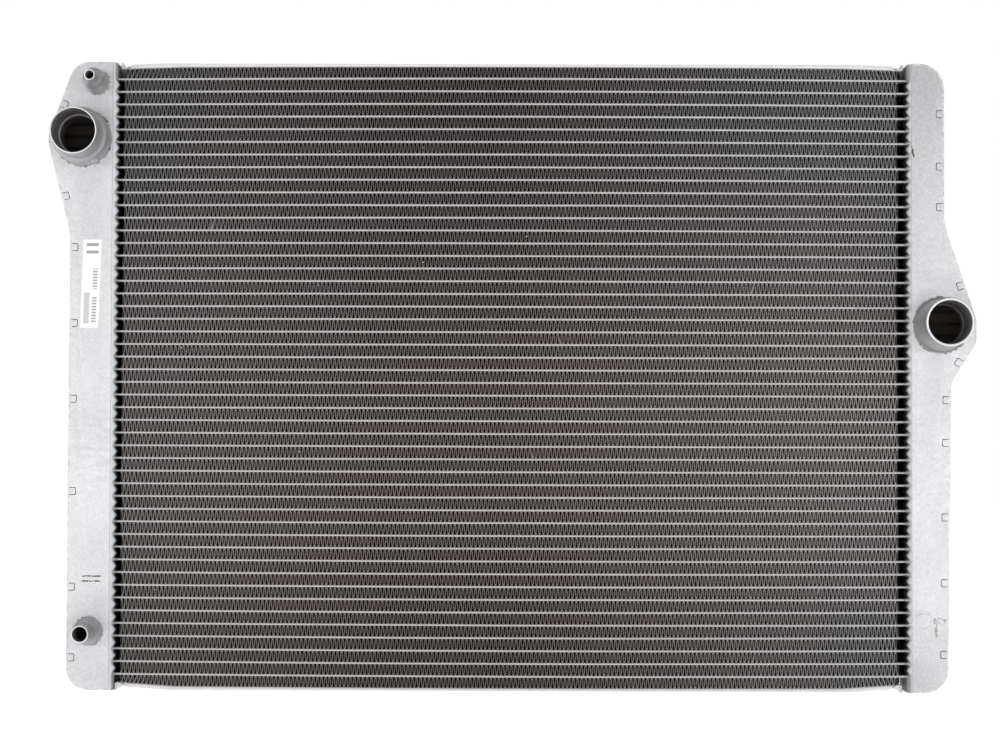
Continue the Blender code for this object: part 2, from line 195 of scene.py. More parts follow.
def beadBody(grid):
    # a rod with rings as rows, whose first and last ring are drawn in to a point
    grid[0], grid[-1] = grid[0].mean(0), grid[-1].mean(0)
    return grid.reshape(-1, 3), gridFaces(*grid.shape[:2], 0, False, True)


def joined(*bodies):
    # several closed bodies in one mesh
    verts, faces, start = [], [], 0
    for points, quads in bodies:
        verts.append(points)
        faces.append(quads + start)
        start += len(points)
    return np.concatenate(verts), np.concatenate(faces)


def linked(name, data):
    item = bpy.data.objects.new(name, data)
    bpy.context.scene.collection.objects.link(item)
    return item


def setPiece(name, mesh, material, replaced=(), sharp=35.0, weld=0.0):
    # faces turned outwards, smooth up to the sharp angle, and the piece's place on the frame
    bm = bmesh.new()
    bm.from_mesh(mesh)
    if weld:
        bmesh.ops.remove_doubles(bm, verts=bm.verts, dist=weld)
    bmesh.ops.recalc_face_normals(bm, faces=bm.faces)
    bm.to_mesh(mesh)
    bm.free()
    mesh.shade_smooth()
    mesh.set_sharp_from_angle(angle=math.radians(sharp))
    mesh.materials.clear()
    mesh.materials.append(material)
    piece = linked(name, mesh)
    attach(piece, "root")
    if replaced:
        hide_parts(*replaced)
    return piece


def addPiece(name, body, material, replaced=(), sharp=35.0, fields=None):
    verts, faces = body
    mesh = bpy.data.meshes.new(name)
    mesh.vertices.add(len(verts))
    mesh.vertices.foreach_set("co", np.ascontiguousarray(verts, np.float32).ravel())
    mesh.loops.add(faces.size)
    mesh.loops.foreach_set("vertex_index", np.ascontiguousarray(faces, np.int32).ravel())
    mesh.polygons.add(len(faces))
    mesh.polygons.foreach_set("loop_start", np.arange(0, faces.size, 4, dtype=np.int32))
    mesh.update(calc_edges=True)
    mesh.validate()
    for key, values in (fields or {}).items():
        layer = mesh.attributes.new(key, "FLOAT", "POINT")
        layer.data.foreach_set("value", np.ascontiguousarray(values, np.float32).ravel())
    return setPiece(name, mesh, material, replaced, sharp)


def smoothStep(value):
    value = np.clip(value, 0.0, 1.0)
    return value * value * (3.0 - 2.0 * value)


def wander(count, knots, size):
    # a smooth random line: random heights at a few knots, joined by a cosine blend
    heights = rng.normal(0.0, size, knots + 1)
    place = np.linspace(0.0, knots - 1e-6, count)
    knot = place.astype(int)
    share = smoothStep(place - knot)
    return heights[knot] * (1 - share) + heights[knot + 1] * share


def pillow(centre, axes, half, power=0.35, rows=10, cols=24):
    # a box with soft edges: a sphere's sines and cosines raised to a small power
    tilt = np.linspace(-math.pi / 2, math.pi / 2, rows)[:, None]
    turn = circle(cols)[None, :]
    soft = lambda value: np.sign(value) * np.abs(value) ** power
    shares = (soft(np.cos(tilt)) * soft(np.cos(turn)), soft(np.cos(tilt)) * soft(np.sin(turn)),
              soft(np.sin(tilt)) * np.ones(cols))
    steps = [size * share[..., None] * np.array(axis) for size, share, axis in zip(half, shares, axes)]
    return beadBody(np.array(centre) + steps[0] + steps[1] + steps[2])


tankFinish = {"colour": (0.735, 0.73, 0.75, 1.0), "metallic": 0.15, "roughness": 0.55,
              "ripplePitch": 2.6 * mm, "speckle": 0.11, "blotch": 0.11}
finFinish = {"cool": (0.232, 0.238, 0.236, 1.0), "warm": (0.315, 0.268, 0.254, 1.0),
             "paintedEdgeTone": 0.98, "metallic": 0.1, "roughness": 0.6, "louvrePitch": 1.2 * mm}
tubeFinish = {"colour": (0.53, 0.513, 0.518, 1.0), "metallic": 0.35, "roughness": 0.42}
headerFinish = {"colour": (0.66, 0.68, 0.725, 1.0), "metallic": 0.0, "roughness": 0.45, "gloss": 0.12}
connectorFinish = {"colour": (0.35, 0.35, 0.36, 1.0), "rim": (0.80, 0.80, 0.81, 1.0),
                   "bore": (0.27, 0.245, 0.25, 1.0), "metallic": 0.4, "roughness": 0.40}
plateFinish = {"colour": (0.70, 0.685, 0.69, 1.0), "metallic": 0.25, "roughness": 0.5}
brazeFinish = {"colour": (0.72, 0.71, 0.71, 1.0), "seam": (0.74, 0.735, 0.75, 1.0),
               "runout": (0.60, 0.585, 0.60, 1.0), "crumbs": (0.85, 0.85, 0.83, 1.0),
               "metallic": 0.4, "roughness": 0.35}
darkFinish = {"colour": (0.10, 0.080, 0.068, 1.0), "shade": (0.006, 0.007, 0.009, 1.0),
              "metallic": 0.4, "roughness": 0.6}


def makeTankPaint(name="tankMetal", inside=False):
    # pale flux-dulled sheet: 1 plus blotches, stipple and faint ripples, less the stains, a darker foot and
    # painted shade at the top, where the light falls off, both darker on the right tank; then a few patches
    # of dark pits
    paint = Paint(name)
    blotch = paint.noise(26.0, 4.0)
    stain = paint.between(paint.noise(11.0, 2.0, (1.0, 1.0, 0.7)), 0.56, 0.74)
    speckle = paint.noise(620.0, 3.0)
    ripple = paint.noise(1.0, 2.0, (90.0, 90.0, 1.0 / tankFinish["ripplePitch"]), 0.5, 0.4)
    up = paint.axis("z")
    ripples = paint.between(paint.noise(12.0, 1.0), 0.40, 0.62)
    ripples = ripples * paint.between(abs(up - 0.24), 0.20, 0.08)
    right = paint.between(paint.axis("x"), 0.0, 0.1)
    # painted shade: the top darkens where the light falls off, the foot darkens too, both more on the right
    # tank
    topShadeAndFoot = paint.between(up + (blotch - 0.5) * 0.12, 0.30, 0.47) * (0.085 + right * 0.245)
    topShadeAndFoot = topShadeAndFoot + paint.between(up + (blotch - 0.5) * 0.06, 0.075, 0.0) * (0.115 + right * 0.10)
    tone = (1.0 + (blotch - 0.5) * tankFinish["blotch"] * 2
            + (speckle - 0.5) * tankFinish["speckle"] * 4
            - stain * 0.05 + (ripple - 0.5) * ripples * 0.34 - topShadeAndFoot)
    pits = paint.between(paint.spots(150.0), 0.03, 0.075)
    pitted = paint.between(paint.noise(30.0, 1.0), 0.5, 0.62)
    tone = tone * (1.0 - (1.0 - pits) * pitted * 0.42)
    colour = paint.scaled(tankFinish["colour"], tone)
    if inside:
        # the inside of the tank: brown stain, and painted reflections in bands
        stainColour, bars = innerStainAndReflections(paint)
        colour = paint.mix(paint.attribute("inside"), colour, paint.scaled(stainColour, bars))
    rough = tankFinish["roughness"] + (speckle - 0.5) * 0.15
    relief = ripple * ripples * 0.8 + speckle * 0.5 + blotch
    return paint.finish(tankFinish, colour, relief, 0.35, 0.3 * mm, rough)


def innerStainAndReflections(paint):
    # brown flux stain, with painted reflections of the tube rows: a darker band inside the tank once per tube
    # pitch
    wave = (paint.axis("z") * (2 * math.pi / tubePitch)).sine()
    cloud = paint.noise(130.0, 3.0, (0.35, 1.0, 1.0))
    bars = 0.35 + cloud * 1.1 - paint.between(wave + cloud, 0.9, 1.2) * 0.5
    return (0.28, 0.215, 0.18, 1.0), bars.clamped()


def makeFinPaint():
    # thin louvred strip: warm grey at mid height, colder above and towards the sides; painted light makes it
    # lighter towards both ends, most on the right, and darker at the top and bottom; the louvres as fine
    # relief
    paint = Paint("finMetal")
    drift = paint.noise(6.0, 3.0)
    across, up = paint.axis("x"), paint.axis("z")
    side = paint.between(abs(across + 0.04), 0.06, 0.30)
    high, low = paint.between(up, 0.22, 0.44), paint.between(up, 0.13, 0.03)
    cool = (high * 0.3 + side * 0.5 + (drift - 0.5) * 0.9).clamped()
    colour = paint.mix(cool, finFinish["warm"], finFinish["cool"])
    grain = paint.noise(500.0, 2.0)
    louvre = (paint.axis("y") * (2 * math.pi / finFinish["louvrePitch"])).sine()
    # painted light: lighter towards both ends of the rows, most on the right, darker at the top and bottom
    lit = (0.82 + paint.between(across, 0.0, 0.25) * 0.58 + paint.between(across, -0.1, -0.25) * 0.27
           - high * 0.26 - low * 0.18)
    # painted light: the last 0.3 mm at either face get their own brightness
    edge = 1.0 - paint.attribute("edge") ** 1.5 * (1.0 - finFinish["paintedEdgeTone"])
    colour = paint.scaled(colour, (0.7 + grain * 0.6) * lit * edge)
    return paint.finish(finFinish, colour, louvre, 0.5, 0.15 * mm)


def makeTubePaint():
    # bright nose; painted shade darkens the flat sides between the fins, the deeper the darker
    paint = Paint("tubeMetal")
    cloud = paint.noise(45.0, 3.0)
    grain = paint.noise(700.0, 2.0, (0.3, 1.0, 1.0))
    # painted shade: none at the nose, full from 2.5 mm into the core
    deep = paint.between(abs(paint.axis("y")), coreHalf - 0.4 * mm, coreHalf - 2.5 * mm)
    colour = paint.scaled(tubeFinish["colour"], (0.84 + cloud * 0.2 + grain * 0.12) * (1.0 - deep * 0.6))
    rough = tubeFinish["roughness"] + (cloud - 0.5) * 0.2
    return paint.finish(tubeFinish, colour, grain, 0.12, 0.1 * mm, rough)


def makePlatePaint():
    # rolled sheet with soft clouds and a few shallow pits
    paint = Paint("plateMetal")
    cloud = paint.noise(38.0, 3.0)
    grain = paint.noise(650.0, 2.0, (0.3, 1.0, 1.0))
    pits = paint.between(paint.spots(120.0), 0.04, 0.09)
    tone = (0.84 + cloud * 0.2 + grain * 0.12) * (0.75 + pits * 0.25)
    colour = paint.scaled(plateFinish["colour"], tone)
    return paint.finish(plateFinish, colour, grain, 0.2, 0.1 * mm)


def makeHeaderPaint():
    # bright with a cold tint at the front; painted shade makes it nearly black behind the ribs' noses;
    # stained dark in the tank
    paint = Paint("headerMetal")
    cloud = paint.noise(60.0, 3.0)
    grain = paint.noise(800.0, 2.0)
    colour = paint.scaled(headerFinish["colour"], 0.85 + cloud * 0.2 + grain * 0.1)
    colour = paint.mix(paint.attribute("shade"), colour, darkFinish["shade"])
    colour = paint.mix(paint.attribute("inside"), colour, darkFinish["colour"])
    rough = headerFinish["roughness"] + paint.attribute("shade") * 0.4
    return paint.finish(headerFinish, colour, grain, 0.15, 0.1 * mm, rough)


def makeConnectorPaint():
    # turned metal: faint rings along the axis, a lighter band over the rim, and a bore of brown stain with
    # painted shade, darker deeper in
    paint = Paint("connectorMetal")
    rings = paint.noise(1.0, 3.0, (20.0, 900.0, 20.0))
    cloud = paint.noise(70.0, 3.0)
    grain = paint.noise(700.0, 2.0)
    tone = 0.70 + rings * 0.42 + cloud * 0.16 + grain * 0.08
    colour = paint.scaled(connectorFinish["colour"], tone)
    bore = paint.scaled(connectorFinish["bore"], 0.6 + cloud * 0.5 + grain * 0.4)
    colour = paint.mix(paint.attribute("inside"), colour, bore)
    colour = paint.mix(paint.attribute("rim"), colour, connectorFinish["rim"])
    rough = connectorFinish["roughness"] + (rings - 0.5) * 0.2
    return paint.finish(connectorFinish, colour, rings, 0.12, 0.1 * mm, rough)


def makeBrazePaint(name="brazeMetal", colour=brazeFinish["colour"], dark=0.22):
    # run metal, broken up into bright and dark patches
    paint = Paint(name)
    cloud = paint.noise(330.0, 3.0)
    tinted = paint.scaled(colour, paint.between(cloud, 0.38, 0.60, dark, 1.1))
    return paint.finish(brazeFinish, tinted, cloud, 0.5, 0.3 * mm)


def makeDarkPaint():
    # metal under a dark flux stain
    paint = Paint("stainedMetal")
    cloud = paint.noise(180.0, 3.0)
    colour = paint.scaled(darkFinish["colour"], 0.6 + cloud * 0.9)
    return paint.finish(darkFinish, colour, cloud, 0.4, 0.2 * mm)


tankPaint = makeTankPaint()
trayPaint = makeTankPaint("trayMetal", True)
finPaint = makeFinPaint()
tubePaint = makeTubePaint()
platePaint = makePlatePaint()
headerPaint = makeHeaderPaint()
connectorPaint = makeConnectorPaint()
brazePaint = makeBrazePaint()
seamPaint = makeBrazePaint("seamMetal", brazeFinish["seam"], 0.72)
darkPaint = makeDarkPaint()
print("finishes made")


tubeShape = {"noseSteps": 8, "wall": 0.3 * mm, "rows": 49, "waver": 0.05 * mm}
coreSpread = 1.25 * mm  # the rows spread this far up and down half way along, where no header holds them


def spread(x, z):
    # nothing at the headers and at mid height, rising as a parabola along the row
    return coreSpread * (1 - (x / headerX) ** 2) * (2 * z / height - 1)


def capsuleRing(halfWidth, radius, steps):
    # two half circles joined by straight sides, in depth and height
    angle = np.linspace(-math.pi / 2, math.pi / 2, steps + 1)
    y = (halfWidth - radius) + radius * np.cos(angle)
    z = radius * np.sin(angle)
    return np.concatenate([np.stack([y, z], -1), np.stack([-y, -z], -1)])


def makeTube(name, z):
    # a flat oval carried along the row's slow drift, which fades out at the headers
    x = np.linspace(-tubeEnd, tubeEnd, tubeShape["rows"])
    drift = wander(len(x), 8, tubeShape["waver"]) * np.sin(np.linspace(0, math.pi, len(x)))
    drift = drift + np.where(np.abs(x) < headerX, spread(x, z), 0.0)
    skins = []
    for trim in (0.0, tubeShape["wall"]):
        ring = capsuleRing(coreHalf - trim, tubeHeight / 2 - trim, tubeShape["noseSteps"])
        skins.append(pointGrid(x[:, None], ring[:, 0], ring[:, 1] + z + drift[:, None]))
    addPiece(name + "_drawn", sheetBody(*skins, wrapCols=True), tubePaint, (name,))


for name, z in zip(tubeNames, tubeZ):
    makeTube(name, z)
print("tubes made")


finShape = {
    "period": 3.14 * mm, "sheet": 0.24 * mm, "tip": 0.30 * mm, "waver": 0.10 * mm, "setBack": 0.3 * mm,
    "startGap": (5.5 * mm, 8.3 * mm), "startSpread": (0.6 * mm, 1.0 * mm),  # at the left and right header
    "louvre": 0.50 * mm, "chevron": 3.3 * mm, "fanStart": 220.0 * mm, "backGap": 2.9 * mm,
    "lean": 2.0 * mm, "leanLength": 30 * mm,  # outer rows, beside the pinched plate ends
    "bentShare": 0.004, "bentSize": 0.55 * mm}
plateLift = {"bottom": 2.8 * mm, "top": 1.3 * mm, "length": 46.0 * mm, "face": 3.375 * mm, "gap": 2.3 * mm}
plateEnd = headerX - plateLift["gap"]


def plateFace(x, word):
    # inner face of a side plate, from the tank's end level: it follows the rows' spread,
    # and rises evenly towards the core over the last stretch
    share = np.clip((np.abs(x) - plateEnd + plateLift["length"]) / plateLift["length"], 0.0, 1.0)
    return plateLift["face"] - 0.9 * coreSpread * (1 - (x / headerX) ** 2) + plateLift[word] * share


def rowLimits(index, x):
    # the tube below and the tube above a row, or a side plate at the first and the last row
    low = plateFace(x, "bottom")
    if index > 0:
        low = tubeZ[index - 1] + spread(x, tubeZ[index - 1]) + tubeHeight / 2
    high = height - plateFace(x, "top")
    if index < len(tubeZ):
        high = tubeZ[index] + spread(x, tubeZ[index]) - tubeHeight / 2
    return low, high


def makeFinRow(index):
    # a wave of steep legs and narrow flat tips between two tubes, ending in an upright leg, carried
    # through the depth: straight margins, a louvre step near each face, and a chevron in between
    ends = [headerX - gap + rng.uniform(-1, 1) * loose
            for gap, loose in zip(finShape["startGap"], finShape["startSpread"])]
    count = int(round(sum(ends) / (finShape["period"] / 2))) + 1
    x = np.linspace(-ends[0], ends[1], count) + wander(count, 40, finShape["waver"])
    low, high = rowLimits(index, x)
    half = finShape["sheet"] / 2 / np.sin(np.arctan(finShape["period"] / 2 / (high - low)))
    phase = (np.arange(count) + rng.integers(2)) % 2
    if index in (0, len(tubeZ)):  # the outer rows were pushed over where the plate is pinched
        away = 1 - (headerX - finShape["startGap"][0] - np.abs(x)) / finShape["leanLength"]
        away = np.clip(away, 0, 1)
        lean = 3 * finShape["lean"] * phase * rng.uniform(0.3, 1.0, count)
        x = x - np.sign(x) * away * (1 - away) * lean
    bent = (rng.random(count) < finShape["bentShare"]) * rng.normal(0, finShape["bentSize"], count)
    # each fold becomes the two ends of its flat tip, and one more point at either end an upright leg
    x = np.repeat(x, 2) + np.tile([-finShape["tip"], finShape["tip"]], count)
    x, phase, bent = [np.pad(values, 1, "edge") for values in (x, np.repeat(phase, 2), np.repeat(bent, 2))]
    phase[0], phase[-1] = 1 - phase[0], 1 - phase[-1]
    low, high, half = [np.interp(x, x[1:-1:2], np.broadcast_to(level, count)) for level in (low, high, half)]
    middle = np.where(phase > 0, high - half, low + half)
    edge = coreHalf - finShape["setBack"]
    step = finShape["louvre"]
    depth = np.array([-edge, -edge + 0.5 * mm, -edge + 1.0 * mm, -edge + 1.6 * mm, -edge + 3.0 * mm,
                      0.0, edge - 2.0 * mm, edge])
    shift = np.array([0, 0, 0, step, -step, finShape["chevron"], step, 0])
    dent = np.array([1, 0.6, 0, 0, 0, 0, 0, 0])
    # towards the back the last folds fan out to the headers, which closes the gaps there
    reach = headerX - finShape["backGap"]
    away = np.clip((np.abs(x) - finShape["fanStart"]) / (reach - finShape["fanStart"]), 0, 1)
    fan = np.where(x > 0, reach - ends[1], ends[0] - reach) * away ** 2
    fan = fan[:, None] * ((depth + edge) / (2 * edge))
    across = x[:, None] + shift + fan + bent[:, None] * dent
    skins = [pointGrid(across, depth, (middle + side * half)[:, None]) for side in (1, -1)]
    # the last 0.3 mm at either face, marked for the painted edge tone
    bright = np.tile(np.where(np.abs(depth) > edge - 0.3 * mm, 1.0, 0.0), len(x) * 2)
    addPiece(f"fin_row_{index + 1:02d}", sheetBody(*skins), finPaint, sharp=20.0,
             fields={"edge": bright})


for index in range(len(tubeZ) + 1):
    makeFinRow(index)
print("fin rows made")


# the half section at the front is (distance from the face, depth behind the cover's face) in mm,
# from the leg in the tank round to the plate: first the outer skin, then the inner one
headerShape = {
    "rowsPerPitch": 10, "end": 5 * mm, "rib": 2.75 * mm, "ribStart": 0.10,
    "noseDepth": (0.3 * mm, 1.9 * mm),  # where the ribs begin behind the front edge, and how far they grow
    "ribbedUpTo": 2.15 * mm, "frontShift": {"left": 0.0, "right": 1.2 * mm},
    "outer": [(7.0, 2.8), (4.4, 2.8), (3.3, 2.75), (2.78, 2.2), (2.76, 1.0), (2.7, 0.25), (2.4, 0.06),
              (1.8, 0.08), (1.35, 0.45), (1.15, 1.1), (1.0, 2.0), (0.6, 3.4), (0.0, 5.8), (0.0, 9.0)],
    "inner": [(7.0, 4.5), (5.6, 4.5), (4.6, 4.6), (4.0, 4.7), (3.6, 4.8), (3.3, 4.9), (3.0, 5.0),
              (2.8, 5.1), (2.5, 5.4), (2.3, 5.8), (2.1, 6.4), (1.9, 7.0), (1.8, 8.0), (1.8, 9.2)]}


def headerRib(z):
    # a blunted triangle between two tubes: a sharp valley at each tube and a soft nose between
    place = (z - tubeZ[0]) / tubePitch
    inside = (place > 0) & (place < len(tubeZ) - 1)
    away = 1 - np.abs(2 * (place - np.floor(place)) - 1)
    away = np.clip((away - headerShape["ribStart"]) / (1 - headerShape["ribStart"]), 0, 1)
    rise = away * (1.14 - 0.14 * away ** 3)
    return np.where(inside, rise, 0.0) * headerShape["rib"]


def makeHeader(word, sign):
    # the section carried up the tank, pushed in towards the core by the ribs between the tubes
    fine = np.arange((len(tubeZ) - 1) * headerShape["rowsPerPitch"] + 1) / headerShape["rowsPerPitch"]
    end = headerShape["end"]
    z = np.concatenate([[0.0, end], tubeZ[0] + fine * tubePitch, [height - end, height]])
    rib = headerRib(z)
    start, growth = headerShape["noseDepth"]
    skins = []
    for key in ("outer", "inner"):
        half = np.array(headerShape[key]) * mm
        away = np.concatenate([half[:, 0], half[::-1, 0]])
        depth = np.concatenate([frontY + half[:, 1], backY - half[::-1, 1]])
        deep = np.minimum(depth - frontY, backY - depth)
        strength = smoothStep((deep - start) / growth) * (away < headerShape["ribbedUpTo"])
        # only the bead at the front edge moves over, not the plate or the leg in the tank
        moved = np.clip(away / (1.15 * mm), 0, 1) * np.clip((2.75 * mm - away) / (1.6 * mm), 0, 1)
        away = away + headerShape["frontShift"][word] * moved
        skins.append(pointGrid(sign * (headerX + away - rib[:, None] * strength), depth, z[:, None]))
    outer, inner = skins
    # painted shade: none within 1 mm of the front edge, full from 3 mm back; none at the tubes, half beyond
    # the outer tubes
    deep = np.minimum(outer[..., 1] - frontY, backY - outer[..., 1])
    beside = np.where((z > tubeZ[0]) & (z < tubeZ[-1]), np.clip(rib / (0.2 * headerShape["rib"]), 0, 1), 0.5)
    shade = smoothStep((deep - 1.0 * mm) / (2.0 * mm)) * beside[:, None]
    clear = np.zeros(inner[..., 0].size)
    fields = {"inside": np.concatenate([clear, clear + 1]), "shade": np.concatenate([shade.ravel(), clear])}
    addPiece(f"header_{word}_ribbed", sheetBody(*skins), headerPaint, (f"header_{word}",), 60.0,
             fields)


makeHeader("left", -1)
makeHeader("right", 1)
print("headers made")


# outline corners from the top inner corner round the outside: distance from the header face,
# height, corner radius, in mm; the tabs' heights hang from the side after the numbered corner
trayShape = {
    "left": {"corners": [(0, 478, 0), (31.4, 478, 16), (52.7, 419.5, 20), (34.4, 346.6, 45), (35.2, 0, 17.5),
                         (0, 0, 0)],
             "tabs": {1: [446.6], 2: [374.7], 3: [336.5, 278.6, 221.0, 150.9, 78.4, 25.0]}},
    "right": {"corners": [(0, 478, 0), (27.5, 478, 19), (27.6, 355, 40), (52.0, 283, 14), (52.0, 265.8, 12),
                          (32.4, 234.5, 18), (29.9, 0, 18), (0, 0, 0)],
              "tabs": {1: [439.6, 399.6, 368.7], 2: [309.8], 4: [248.7],
                       5: [221.9, 189.5, 133.0, 83.3, 29.2]}},
    "sheet": 1.6 * mm, "seam": 2.8 * mm, "bend": 4.0 * mm, "arcSteps": 14, "lip": 0.5 * mm,
    "lipBehind": 0.15 * mm,  # from the cover's face back to the lip
    "tab": (5.2 * mm, 5.0 * mm), "tabSheet": 1.3 * mm, "tabProud": 0.25 * mm, "tabEdge": 0.55 * mm}
coverShape = {"sheet": 2.5 * mm, "bevel": 0.3 * mm, "edge": 0.75 * mm, "pocketGap": 0.42 * mm,
              "pocketCorner": 0.7 * mm, "holeSteps": 64}


def trayOutline(corners):
    # straight runs and arcs, as one open path of (distance, height)
    points = []
    spots = [Vector((d * mm, z * mm)) for d, z, radius in corners]
    for i, (d, z, radius) in enumerate(corners):
        if radius == 0:
            points.append(np.array([[max(d * mm, trayShape["seam"]), z * mm]]))
            continue
        back = (spots[i - 1] - spots[i]).normalized()
        ahead = (spots[i + 1] - spots[i]).normalized()
        half = back.angle(ahead) / 2
        size = radius * mm
        centre = spots[i] + (back + ahead).normalized() * (size / math.sin(half))
        start = spots[i] + back * (size / math.tan(half)) - centre
        end = spots[i] + ahead * (size / math.tan(half)) - centre
        sweep = math.atan2(start.x * end.y - start.y * end.x, start.dot(end))
        angle = math.atan2(start.y, start.x) + np.linspace(0, sweep, trayShape["arcSteps"])
        points.append(np.stack([centre.x + size * np.cos(angle), centre.y + size * np.sin(angle)], -1))
    return np.concatenate(points)


def outlineInward(path):
    # unit vectors across the path towards the inside of the tank
    ahead = np.gradient(path, axis=0)
    ahead /= np.linalg.norm(ahead, axis=1, keepdims=True)
    return np.stack([ahead[:, 1], -ahead[:, 0]], -1)


def tabFrames(word):
    # centre, direction inwards and direction along the edge of every folded tab
    spec = trayShape[word]
    for side, heights in spec["tabs"].items():
        top = Vector(spec["corners"][side][:2]) * mm
        bottom = Vector(spec["corners"][side + 1][:2]) * mm
        along = (bottom - top).normalized()
        inward = Vector((along.y, -along.x))
        for tabHeight in heights:
            spot = top.lerp(bottom, (tabHeight * mm - top.y) / (bottom.y - top.y))
            yield spot + inward * (trayShape["tabEdge"] + trayShape["tab"][0] / 2), inward, along


def makeTray(word, sign):
    # the outline's wall: a rounded lip at the front, a bend at the back and a level back face
    path = trayOutline(trayShape[word]["corners"])
    inward = outlineInward(path)
    bend, sheet, lip, seam = [trayShape[key] for key in ("bend", "sheet", "lip", "seam")]
    turn = np.linspace(0, math.pi / 2, 7)
    lipTurn = np.linspace(0, math.pi / 2, 4)
    lipY = frontY + trayShape["lipBehind"] + lip * (1 - np.cos(lipTurn))
    # a slight even spread keeps any two points of the level back face apart
    level = np.clip(path[:, 1], bend, height - bend)
    level = level * 0.98 + np.linspace(height - bend, bend, len(path)) * 0.02
    skins = []
    for trim in (0.0, sheet):
        edge = lip * (1 - np.sin(lipTurn))
        edge = edge if trim == 0.0 else sheet - edge
        inset = np.concatenate([edge, [trim, trim], bend - (bend - trim) * np.cos(turn)])
        y = np.concatenate([lipY, [frontY + 6 * mm, 0.0], backY - bend + (bend - trim) * np.sin(turn)])
        spot = path[:, None, :] + inward[:, None, :] * inset[None, :, None]
        wall = pointGrid(sign * (headerX + np.maximum(spot[..., 0], seam)), y, spot[..., 1])
        back = pointGrid(sign * (headerX + seam), backY - trim, level)
        skins.append(np.concatenate([wall, back[:, None]], 1))
    bodies = [sheetBody(*skins)]
    tabLong, tabWide = trayShape["tab"]
    tabHalf = (tabLong / 2, tabWide / 2, trayShape["tabSheet"] / 2)
    for spot, tabInward, along in tabFrames(word):
        # each tab comes over the wall and is pressed down into its pocket
        centre = (sign * (headerX + spot.x), frontY - trayShape["tabProud"] + tabHalf[2], spot.y)
        axes = ((sign * tabInward.x, 0, tabInward.y), (sign * along.x, 0, along.y), (0, 1, 0))
        bodies.append(pillow(centre, axes, tabHalf, 0.28, 12, 32))
    verts, faces = joined(*bodies)
    rows, cols = skins[1].shape[:2]
    stained = np.zeros(len(verts))
    stained[rows * cols:2 * rows * cols] = np.tile(np.arange(cols) >= 5, rows)  # all but the lip
    addPiece(f"tank_{word}_pressed", (verts, faces), trayPaint, (f"tank_{word}_tray",), 40.0,
             {"inside": stained})


def cutPocket(points, spot, inward, along):
    # finds the straight run that passes a tab and steps the outline in round it
    reach = trayShape["tab"][0] / 2 + coverShape["pocketGap"]
    side = trayShape["tab"][1] / 2 + coverShape["pocketGap"]
    corner = coverShape["pocketCorner"]
    for i, (a, b) in enumerate(zip(points, points[1:])):
        off = (a - spot).dot(inward)
        if (b - a).normalized().dot(along) < 0.999 or abs(off) > 6 * mm:
            continue
        if (a - spot).dot(along) < -side and (b - spot).dot(along) > side:
            steps = [(-side, off), (-side, reach - corner), (corner - side, reach), (side - corner, reach),
                     (side, reach - corner), (side, off)]
            points[i + 1:i + 1] = [spot + along * u + inward * v for u, v in steps]
            return


def makeCover(word, sign, holes):
    # a flat filled curve: the outline with a pocket at every tab, less the connectors' holes
    path = trayOutline(trayShape[word]["corners"])
    inner = path + outlineInward(path) * coverShape["edge"]
    inner[:, 0] = np.maximum(inner[:, 0], trayShape["seam"])
    points = [Vector(point) for point in inner]
    for spot, tabInward, along in tabFrames(word):
        cutPocket(points, spot, tabInward, along)
    half, bevel = coverShape["sheet"] / 2, coverShape["bevel"]
    curve = bpy.data.curves.new(f"cover_{word}", "CURVE")
    curve.dimensions = "2D"
    curve.fill_mode = "BOTH"
    curve.extrude = half - bevel
    curve.bevel_depth = bevel
    curve.bevel_resolution = 2
    curve.offset = -bevel
    loops = [np.array(points)]
    for centre, radius in holes:
        turn = circle(coverShape["holeSteps"])
        loops.append(np.stack([abs(centre[0]) - headerX + radius * np.cos(turn),
                               centre[1] + radius * np.sin(turn)], -1))
    for loop in loops:
        spline = curve.splines.new("POLY")
        spline.points.add(len(loop) - 1)
        flat = np.stack([sign * (headerX + loop[:, 0]), loop[:, 1], 0 * loop[:, 0], 1 + 0 * loop[:, 0]], -1)
        spline.points.foreach_set("co", flat.ravel())
        spline.use_cyclic_u = True
    holder = linked(f"cover_{word}_curve", curve)
    bpy.context.view_layer.update()
    mesh = bpy.data.meshes.new_from_object(holder.evaluated_get(bpy.context.evaluated_depsgraph_get()))
    bpy.data.objects.remove(holder)
    flat = np.empty(len(mesh.vertices) * 3, np.float32)
    mesh.vertices.foreach_get("co", flat)
    flat = flat.reshape(-1, 3)
    stood = pointGrid(flat[:, 0], frontY + half - flat[:, 2], flat[:, 1])  # the flat shape stood upright
    mesh.vertices.foreach_set("co", stood.astype(np.float32).ravel())
    setPiece(f"tank_{word}_front", mesh, tankPaint, (f"tank_{word}_cover",), weld=0.01 * mm)


def makeSeamBraze(word, sign):
    # the braze that fills the joint between the tray's lip and the cover: a low uneven bead
    count, ring = 700, 8
    path = trayOutline(trayShape[word]["corners"])
    steps = np.concatenate([[0], np.cumsum(np.linalg.norm(np.diff(path, axis=0), axis=1))])
    even = np.linspace(0.5 * mm, steps[-1] - 0.5 * mm, count)
    line = np.stack([np.interp(even, steps, path[:, 0]), np.interp(even, steps, path[:, 1])], -1)
    side = outlineInward(line)
    line = line + side * (coverShape["edge"] + wander(count, 260, 0.10 * mm)[:, None])
    thick = (0.42 + 0.10 * np.clip(wander(count, 300, 1.0), -2, 2))[:, None] * mm
    turn = circle(ring)
    across = thick * np.cos(turn)
    away = np.maximum(line[:, :1] + side[:, :1] * across, trayShape["seam"] - 0.4 * mm)
    grid = pointGrid(sign * (headerX + away), frontY + 0.22 * mm - thick * 0.75 * np.sin(turn),
                     line[:, 1:] + side[:, 1:] * across)
    addPiece(f"tank_{word}_seam", beadBody(grid), seamPaint, (), 60.0)


makeTray("left", -1)
makeTray("right", 1)
print("trays made")


